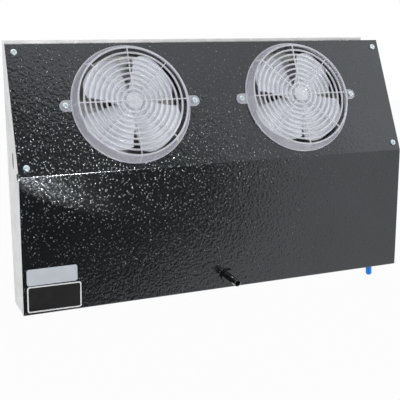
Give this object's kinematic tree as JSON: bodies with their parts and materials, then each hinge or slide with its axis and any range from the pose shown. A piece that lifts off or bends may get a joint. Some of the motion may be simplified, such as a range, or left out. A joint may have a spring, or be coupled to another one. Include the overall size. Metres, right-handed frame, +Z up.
{
  "type": "unit cooler",
  "caption": "Slim unit cooler for a walk-in cold room: folded sheet casing with clear-guarded axial fans over a finned coil and a drained pan.",
  "frame": {"origin": "centre of the four mounting slots, on the back plate's rear face", "axes": "+X along the casing to its right end seen from the front, +Y out of the rear mounting face, +Z up from the pan to the fans"},
  "size_m": [0.75, 0.1341, 0.4853],
  "materials": {
    "black_coat": "glossy black hammertone coat with fine light flecks",
    "galvanised_sheet": "plain light grey galvanised sheet",
    "clear_plastic": "clear moulded plastic",
    "rotor_plastic": "light grey moulding",
    "zinc": "bright zinc plate",
    "bright_steel": "ground steel",
    "motor_paint": "dark grey paint",
    "bronze": "oiled sintered bronze",
    "copper": "drawn copper, slightly dulled",
    "fin_aluminium": "plain bright fin stock",
    "blue_plastic": "soft blue moulded cap",
    "black_plastic": "glossy black moulding",
    "black_rubber": "matt black rubber",
    "ivory_plastic": "ivory moulding"
  },
  "bodies": {
    "casing": {"back_plate": "galvanised_sheet", "front_panel": "black_coat", "left_end_panel": "galvanised_sheet", "right_end_panel": "galvanised_sheet", "left_tube_sheet": "galvanised_sheet", "right_tube_sheet": "galvanised_sheet", "coil_tube": "copper", "coil_fins": "fin_aluminium", "suction_stub": "copper", "suction_cap": "blue_plastic", "liquid_stub": "copper", "liquid_cap": "blue_plastic", "drain_tube": "black_plastic", "drain_gasket": "black_rubber", "drain_nut": "black_plastic", "terminal_block": "ivory_plastic", "corner_screws": "zinc", "guard_screws": "zinc", "back_screws": "zinc", "coil_screws": "zinc", "motor_screws": "zinc", "left_fan_guard": "clear_plastic", "left_motor_housing": "motor_paint", "left_motor_cover": "motor_paint", "left_motor_bearings": "bronze", "left_motor_strap": "galvanised_sheet", "right_fan_guard": "clear_plastic", "right_motor_housing": "motor_paint", "right_motor_cover": "motor_paint", "right_motor_bearings": "bronze", "right_motor_strap": "galvanised_sheet"},
    "left_fan": {"left_fan_blades": "rotor_plastic", "left_fan_hub": "zinc", "left_motor_shaft": "bright_steel"},
    "right_fan": {"right_fan_blades": "rotor_plastic", "right_fan_hub": "zinc", "right_motor_shaft": "bright_steel"}
  },
  "joints": [
    {"name": "left_fan_spin", "type": "hinge", "parent": "casing", "child": "left_fan", "pos_m": [-0.166, -0.06578, 0.116], "axis": [0, -0.9412, 0.338], "continuous": true},
    {"name": "right_fan_spin", "type": "hinge", "parent": "casing", "child": "right_fan", "pos_m": [0.166, -0.06578, 0.116], "axis": [0, -0.9412, 0.338], "continuous": true}
  ]
}
